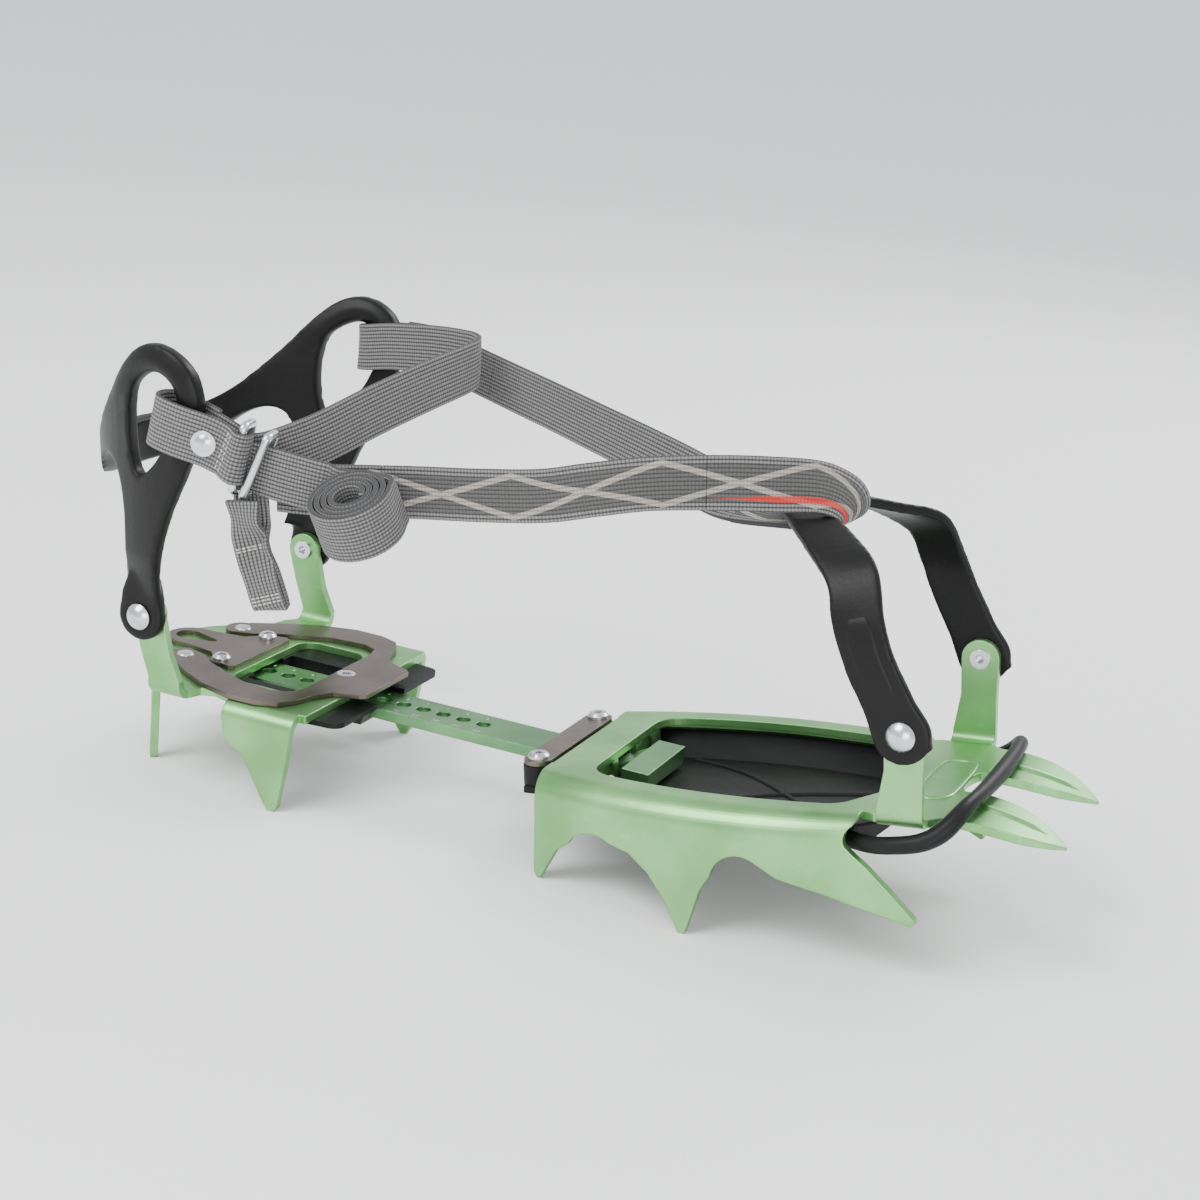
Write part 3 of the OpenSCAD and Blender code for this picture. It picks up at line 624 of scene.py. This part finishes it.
cage = moulded(
    "heel_cage",
    "moulded_heel_cage",
    black_nylon,
    cell=0.7,
    rounds=20,
    beads=(eye_bar(-1), eye_bar(1)),
)
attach(cage, "heel_cage")
basket = moulded("toe_basket", "moulded_toe_basket", black_nylon, cell=0.6, rounds=12)
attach(basket, "toe_basket")

# half of the stretch band, from its outer end to the middle line, and how thick it is there
BAND_SIDE = (
    (91, -32.5, -8.2), (99, -37, -8.4), (107, -38.8, -6.6), (114, -38.6, -5.6),
    (119.5, -36.6, -2.8), (122.8, -34, 1), (124.4, -29, 3.7), (125.6, -18, 3.4), (125.8, 0, 3.2),
)
BAND_SWELL = (1.0, 1.05, 1.05, 1.1, 1.2, 1.15, 0.9, 0.95, 1.15)
band_far_side = [(x, -y, z) for x, y, z in BAND_SIDE[-2::-1]]
band = wire(
    "moulded_stretch_band",
    [front_place(*p) for p in (*BAND_SIDE, *band_far_side)],
    radius=2.3,
    finish=soft_plastic,
    taper=BAND_SWELL + BAND_SWELL[-2::-1],
)
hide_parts("plate_stretch_band")
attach(band, "front_section")

# ------------------------------------------------------------------ pressed and small details


def patch(name, columns, rows, shape, finish, body):
    """A small sheet whose places come from a formula over 0 to 1 both ways, in millimetres."""
    bm = flat_grid(columns, rows)
    for v in bm.verts:
        v.co = shape(v.co.x, v.co.y) * MM
    bmesh.ops.recalc_face_normals(bm, faces=bm.faces)
    mesh = bpy.data.meshes.new(name)
    bm.to_mesh(mesh)
    bm.free()
    piece = smooth(keep(name, mesh, finish))
    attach(piece, body)


def point_rib(side):
    """A long pressed rib on a front point, which follows the point's curve down."""

    start, length, half_width = 120.5, 23.5, 1.9

    def shape(u, w):
        x = start + length * u
        half = half_width * math.sin(math.pi * u) ** 0.5 + 0.05
        y = 17.6 + 1.4 * u + half * (2 * w - 1)
        top = math.sqrt(POINT_BEND**2 - (x - POINT_START) ** 2) - POINT_BEND
        rise = (1 - (2 * w - 1) ** 2) * min(1, 6 * u, 6 * (1 - u))
        return front_place(x, side * y, top + rise)

    return shape


for side, word in ((-1, "outer"), (1, "inner")):
    patch(word + "_point_rib", 24, 8, point_rib(side), green_sheet, "front_section")


def dome(name, spots, radius, height, finish, body):
    """Low domed heads, standing on places in millimetres."""
    bm = bmesh.new()
    for spot in spots:
        made = bmesh.ops.create_uvsphere(bm, u_segments=28, v_segments=14, radius=radius * MM)
        bmesh.ops.scale(bm, vec=(1, 1, height / radius), verts=made["verts"])
        below = [v for v in made["verts"] if v.co.z < -0.1 * radius * MM]
        bmesh.ops.translate(bm, vec=Vector(spot) * MM, verts=made["verts"])
        bmesh.ops.delete(bm, geom=below, context="VERTS")
    mesh = bpy.data.meshes.new(name)
    bm.to_mesh(mesh)
    bm.free()
    piece = smooth(keep(name, mesh, finish))
    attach(piece, body)


dome(
    "plate_rivet_heads",
    [(-57, y, -0.05) for y in (-16.4, 16.4)],
    radius=2.7,
    height=0.9,
    finish=bright_zinc,
    body="spring_plate",
)


def half_sunk(name, spots, z, radius, finish, closed=False):
    """A raised line on the front section, through x and y in its own millimetres."""
    line = wire(name, [front_place(x, y, z) for x, y in spots], radius, finish, closed=closed)
    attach(line, "front_section")


def ring_spots():
    """The pressed ring's middle line, a long round-ended slot, from one quarter of it."""
    middle = 110.5
    quarter = ((5.5, 13), (4.1, 15.6), (1.5, 17))
    end = [(-x, y) for x, y in quarter] + [(x, y) for x, y in quarter[::-1]]
    spots = [(-5.5, 0), *end, (5.5, 0), *((-x, -y) for x, y in end)]
    return [(middle + x, y) for x, y in spots]


half_sunk("pressed_ring", ring_spots(), PRESSED_Z, 0.85, green_sheet, closed=True)
half_sunk(
    "plate_rib_long",
    [(26, 22), (38, 19), (50, 12), (60, 3), (72, -8), (84, -15)],
    RIB_Z,
    0.9,
    soft_plastic,
)
half_sunk(
    "plate_rib_cross",
    [(30, -22), (42, -12), (54, -3), (68, 4), (86, 9)],
    RIB_Z,
    0.9,
    soft_plastic,
)

# the middle line of the basket's outer arm, from its boss upwards
arm_route = Route(
    [
        (183, -40.9, 35, 1, 0, 0.4),
        (177.5, -40.9, 44, 1, 0, 0.5),
        (170.5, -41, 55, 1, 0, 0.32),
        (165.6, -39.6, 65, 1, 0.1, 0.25),
        (161, -34.4, 75, 0.95, 0.35, 0.5),
    ]
)


def arm_panel(side):
    """A low raised panel on the outer face of a basket arm."""
    start, length, half_width, height, stand = 11, 26, 3.9, 0.55, 1.35

    def shape(u, w):
        place, along, across = arm_route.at(start + length * u)
        out = across.cross(along).normalized()
        if out.y > 0:
            out = -out
        side_on = 2 * w - 1
        half = half_width * (1 - (2 * u - 1) ** 8)
        rise = height * min(1, 7 * (1 - abs(side_on)), 9 * u, 9 * (1 - u)) + stand
        spot = place + across * half * side_on + out * rise
        return Vector((spot.x, -side * spot.y, spot.z))

    return shape


for side, word in ((-1, "outer"), (1, "inner")):
    patch(word + "_arm_panel", 40, 14, arm_panel(side), black_nylon, "toe_basket")


def size_numbers():
    """Small sizes, 36 to 40, printed beside five of the bar's holes."""
    bm = bmesh.new()
    for k in range(3, 8):
        words = bpy.data.curves.new("number", "FONT")
        words.body = str(33 + k)
        words.size = 2.6 * MM
        words.align_x = "CENTER"
        shown = bpy.data.objects.new("number", words)
        bpy.context.collection.objects.link(shown)
        bpy.context.view_layer.update()
        graph = bpy.context.evaluated_depsgraph_get()
        mesh = bpy.data.meshes.new_from_object(shown.evaluated_get(graph))
        spot = Vector((PIN_PLACE + HOLE_PITCH * k + 0.6, -7.2, BAR_TOP + 0.015))
        mesh.transform(Matrix.Translation(spot * MM))
        bm.from_mesh(mesh)
        bpy.data.objects.remove(shown)
    mesh = bpy.data.meshes.new("size_numbers")
    bm.to_mesh(mesh)
    bm.free()
    piece = keep("size_numbers", mesh, bright_zinc)
    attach(piece, "linking_bar")


size_numbers()

# ------------------------------------------------------------------ straps

UP = (0, 0, 1)
side_route = Route(
    [
        (-28, 63.5, 92.8, *UP),
        (-19, 61.4, 93.2, *UP),
        (-9, 56.8, 92.8, *UP),
        (0, 52.4, 91.8, 0.04, 0, 1),
        (20, 43.6, 89.8, 0.08, 0, 1),
        (38, 36, 88, 0.1, 0, 1),
        (56, 28.4, 86, 0.12, 0.04, 1),
        (74, 20.8, 84, 0.14, 0.1, 1),
        (88, 15, 82.2, 0.2, 0.2, 1),
        (101, 9.6, 80.2, 0.3, 0.4, 1),
        (116, 4, 78, 0.36, 0.8, 0.5),
        (134, -0.6, 78, 0.4, 1, 0.1),
        (145, -3.4, 79.6, 0.35, 1, 0.1),
        (150, -5.6, 83.4, 0.3, 1, 0.2),
        (149.4, -8, 88, 0.3, 0.95, 0.35),
        (143, -13, 91.4, 0.25, 0.75, 0.6),
        (131, -21.4, 91.8, 0.12, 0.45, 0.85),
        (118, -28.6, 91.2, 0.02, 0.2, 1),
        (102, -36.4, 89.4, -0.06, 0, 1),
        (88, -41, 86, -0.1, 0, 1),
        (74, -43, 82, -0.1, 0, 1),
        (56, -44.6, 79, -0.08, 0, 1),
        (38, -46, 76.6, -0.06, 0, 1),
        (24, -47.2, 74.6, -0.06, 0, 1),
        (8, -50.2, 72.6, -0.05, 0, 1),
        (-3.5, -53.2, 72.2, -0.05, 0, 1),
    ]
)
turn_at = side_route.nearest(148)
inner_cuts = [0, side_route.nearest(12), side_route.nearest(86), side_route.nearest(116)]
outer_cuts = [
    side_route.nearest(116, turn_at),
    side_route.nearest(86, turn_at),
    side_route.nearest(27, turn_at),
    side_route.length,
]
apex_weave = woven_webbing(
    "red_lined_webbing", "grey_webbing", figured=True, red_line=(turn_at - 6, outer_cuts[0])
)

strap_pieces = [
    # name, CAD node, start, end, finish, thickness, bodies it runs between
    ("inner_strap_at_cage", "inner_strap_rear", inner_cuts[0], inner_cuts[1], plain_weave,
     WEB_THICK, ("heel_cage", "heel_section")),
    ("inner_strap_over_bar", "inner_strap_middle", inner_cuts[1], inner_cuts[2], plain_weave,
     WEB_THICK, ("heel_section", "linking_bar")),
    ("inner_strap_at_basket", "inner_strap_front", inner_cuts[2] - LAP, inner_cuts[3],
     plain_weave, LAP_THICK, ("front_section", "toe_basket")),
    ("strap_turn_on_basket", "basket_loop", inner_cuts[3], outer_cuts[0], apex_weave,
     WEB_THICK, None),
    ("outer_strap_at_basket", "outer_strap_front", outer_cuts[0], outer_cuts[1] + LAP,
     figured_weave, LAP_THICK, ("toe_basket", "front_section")),
    ("outer_strap_over_bar", "outer_strap_middle", outer_cuts[1], outer_cuts[2],
     figured_weave, WEB_THICK, ("linking_bar", "heel_section")),
    ("outer_strap_at_buckle", "outer_strap_rear", outer_cuts[2], outer_cuts[3],
     figured_weave, WEB_THICK, ("heel_section", "heel_cage")),
]
for name, node, start, end, finish, thick, bodies in strap_pieces:
    piece = webbing(name, side_route, start, end, finish, thick=thick, sag=0.25)
    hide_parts(node)
    if bodies:
        ends = [side_route.at(s)[0] * MM for s in (start, end)]
        margin = (ends[1] - ends[0]) * 0.06
        ends[0] + margin
        ends[1] - margin
        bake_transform(piece)
    else:
        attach(piece, "toe_basket")
    (end - start) * MM

ankle_route = Route(
    [
        (-12.4, 56.6, 93.4, *UP),
        (-19.6, 59.8, 93.3, *UP),
        (-28, 61.8, 92.6, *UP),
        (-35.5, 62, 91.6, *UP),
        (-40.4, 59.6, 91, *UP),
        (-41.6, 55.4, 91, *UP),
        (-37, 51.6, 92, *UP),
        (-28, 49.2, 94, *UP),
        (-19, 46.4, 95.6, *UP),
        (-8, 43.6, 97.2, *UP),
        (2, 40.6, 98.2, *UP),
        (9.6, 37.2, 98.6, *UP),
        (13.8, 31.4, 98.2, -0.05, 0, 1),
        (13.8, 22, 97, -0.14, 0, 1),
        (11, 5, 94.4, -0.2, 0, 1),
        (6, -16, 89.8, -0.2, 0, 1),
        (0, -35, 84, -0.18, 0, 1),
        (-4.6, -46.6, 81, -0.12, 0, 1),
        (-8.8, -53.4, 79.2, -0.05, 0, 1),
        (-13.6, -55.6, 78.6, *UP),
    ]
)
ankle = webbing("ankle_webbing", ankle_route, 0, ankle_route.length, plain_weave, sag=0.25)
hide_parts("ankle_strap")
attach(ankle, "heel_cage")


def roll_rows():
    """The strap's tail leaves the rings and winds up into a roll of about four turns."""
    centre = Vector((27, -62, 71.5))
    axis = Vector((-0.14, -0.43, 0.89)).normalized()
    side = (Vector((0, 1, 0)) - axis * axis.y).normalized()
    ahead = side.cross(axis)
    rows = [
        (-14.4, -57.4, 77.6, *UP),
        (-8.4, -56.2, 76.8, *UP),
        (0, -55.6, 75.8, *UP),
        (10, -54, 74.8, -0.04, -0.1, 1),
        (17, -51.9, 74, -0.08, -0.3, 1),
    ]
    turns, outer, pitch, per_turn = 4.3, 12.2, 1.95, 16
    for k in range(2, int(turns * per_turn) + 1):
        angle = math.radians(90 - 360 * k / per_turn)
        radius = outer - pitch * k / per_turn
        spot = centre + (ahead * math.cos(angle) + side * math.sin(angle)) * radius
        rows.append((*spot, *axis))
    return rows


roll_route = Route(roll_rows(), 5)
roll = webbing("rolled_strap_end", roll_route, 0, roll_route.length, plain_weave, thick=1.5)
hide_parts("strap_roll")
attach(roll, "heel_cage")

LEAN = (0.16, 0.05, 1)
loop_route = Route(
    [
        (-24, -54.4, 83.6, *LEAN),
        (-31, -52.6, 84.8, *LEAN),
        (-38.4, -51.8, 86, *LEAN),
        (-42, -54.4, 86.4, *LEAN),
        (-42.2, -59, 86.4, *LEAN),
        (-38.6, -62.4, 86, *LEAN),
        (-31, -63.2, 84.8, *LEAN),
        (-23, -61.6, 83.2, *LEAN),
        (-17.6, -61, 81.6, *LEAN),
        (-14.4, -62.2, 80.4, *LEAN),
        (-12.3, -62.4, 79.9, *LEAN),
        (-10.9, -60.3, 79.5, *LEAN),
        (-11.6, -57.1, 79.6, *LEAN),
        (-15, -57, 80.6, *LEAN),
        (-19.4, -56.6, 82, *LEAN),
        (-24, -55.9, 83.2, *LEAN),
    ]
)
loop = webbing("cage_loop", loop_route, 0, loop_route.length, plain_weave, thick=1.15)
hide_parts("buckle_loop")
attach(loop, "heel_cage")

TAB_WIDTH = 10.2
ACROSS_TAB = (0.95, 0.12, 0.2)
tab_route = Route(
    [
        (-10.6, -55.8, 69, *ACROSS_TAB),
        (-9.4, -56.4, 62, 0.9, 0.5, 0.2),
        (-7.2, -57, 55, 0.95, -0.3, 0.2),
        (-4.2, -56.8, 46, *ACROSS_TAB),
        (-1.6, -56, 38.6, *ACROSS_TAB),
        (-1.1, -57, 37.2, *ACROSS_TAB),
        (-1.6, -58.2, 38.6, *ACROSS_TAB),
        (-4.4, -58.8, 46, *ACROSS_TAB),
        (-7.6, -59, 55, 0.95, 0.5, 0.2),
        (-9.2, -60.2, 62, 0.95, -0.2, 0.3),
        (-10, -61.2, 68, 0.95, 0.1, 0.3),
    ]
)
tab = webbing(
    "folded_release_tab", tab_route, 0, tab_route.length, plain_weave, TAB_WIDTH, 1.3
)
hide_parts("release_tab")
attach(tab, "clamping_ring")


def stitches(name, route, spots, finish, body):
    """Short thread stitches on the outer face of webbing, each at a distance along and across."""
    half_length, half_width, half_height = 0.62, 0.27, 0.24
    bm = bmesh.new()
    for s, offset in spots:
        place, along, across = route.at(s)
        out = along.cross(across)
        if out.y > 0:
            out = -out
        made = bmesh.ops.create_uvsphere(bm, u_segments=10, v_segments=6, radius=1)
        axes = (across * half_length, along * half_width, out * half_height)
        turned = Matrix(axes).transposed()
        for v in made["verts"]:
            v.co = (place + across * offset + out * STITCH_LIFT + turned @ v.co) * MM
    mesh = bpy.data.meshes.new(name)
    bm.to_mesh(mesh)
    bm.free()
    piece = smooth(keep(name, mesh, finish))
    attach(piece, body)


tab_spots = [
    (tab_route.length - back, across)
    for back in (30.4, 29.4, 28.4, 14.5, 13.7)
    for across in (-3.9, -2.3, -0.7, 0.9, 2.5, 4.0)
]
stitches("tab_stitches", tab_route, tab_spots, thread, "clamping_ring")
loop_middle = loop_route.nearest(-27, 30)
loop_spots = [
    (loop_middle + ahead, across)
    for ahead in (10.6, 12.2)
    for across in (-5.4, -3.6, -1.8, 0, 1.8, 3.6, 5.4)
]
stitches("loop_stitches", loop_route, loop_spots, thread, "heel_cage")


def ring_rows(centre, lean):
    """The middle line of a ring that stands across the webbing and leans back, in degrees."""
    wide, tall, corner, turn = 3.6, 9.6, 2.2, 12
    turned = Matrix.Rotation(math.radians(turn), 3, "Z")
    turned = turned @ Matrix.Rotation(math.radians(lean), 3, "Y")
    flat = []
    for sy, sz in ((1, 1), (-1, 1), (-1, -1), (1, -1)):
        side, end = sy * wide, sz * tall
        bend = [(side, end - sz * corner), (side, end), (side - sy * corner, end)]
        flat += bend if sy * sz > 0 else bend[::-1]
    return [Vector(centre) + turned @ Vector((0, y, z)) for y, z in flat]


for name, node, body, centre, lean in (
    ("fixed_ring_wire", "fixed_ring", "fixed_ring", (-13.6, -56.4, 79.4), 8),
    ("clamping_ring_wire", "clamping_ring", "clamping_ring", (-8.6, -55.4, 77.6), 20),
):
    ring = wire(name, ring_rows(centre, lean), 1.3, bright_zinc, closed=True)
    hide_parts(node)
    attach(ring, body)

# ------------------------------------------------------------------ floor, light and finish

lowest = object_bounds()[0][2]
bpy.ops.mesh.primitive_plane_add(size=60, location=(0, 0, lowest))
floor = bpy.context.object
floor.name = "floor"
pale = bpy.data.materials.new("pale_floor")
pale.use_nodes = True
paint = pale.node_tree.nodes["Principled BSDF"]
paint.inputs["Base Color"].default_value = (0.94, 0.94, 0.94, 1)
paint.inputs["Roughness"].default_value = 0.8
floor.data.materials.append(pale)

sky = bpy.data.worlds.new("studio")
sky.use_nodes = True
glow = sky.node_tree.nodes["Background"]
glow.inputs["Color"].default_value = (0.95, 0.97, 1, 1)
glow.inputs["Strength"].default_value = 1.2
bpy.context.scene.world = sky
MIDDLE = (0.07, 0, 0.03)
add_light("key", (-0.35, -0.75, 1.0), MIDDLE, 0.7, 17)
add_light("fill", (0.75, -1.0, 0.22), MIDDLE, 0.7, 8)
add_light("rim", (0.35, 0.9, 0.8), MIDDLE, 0.5, 9)
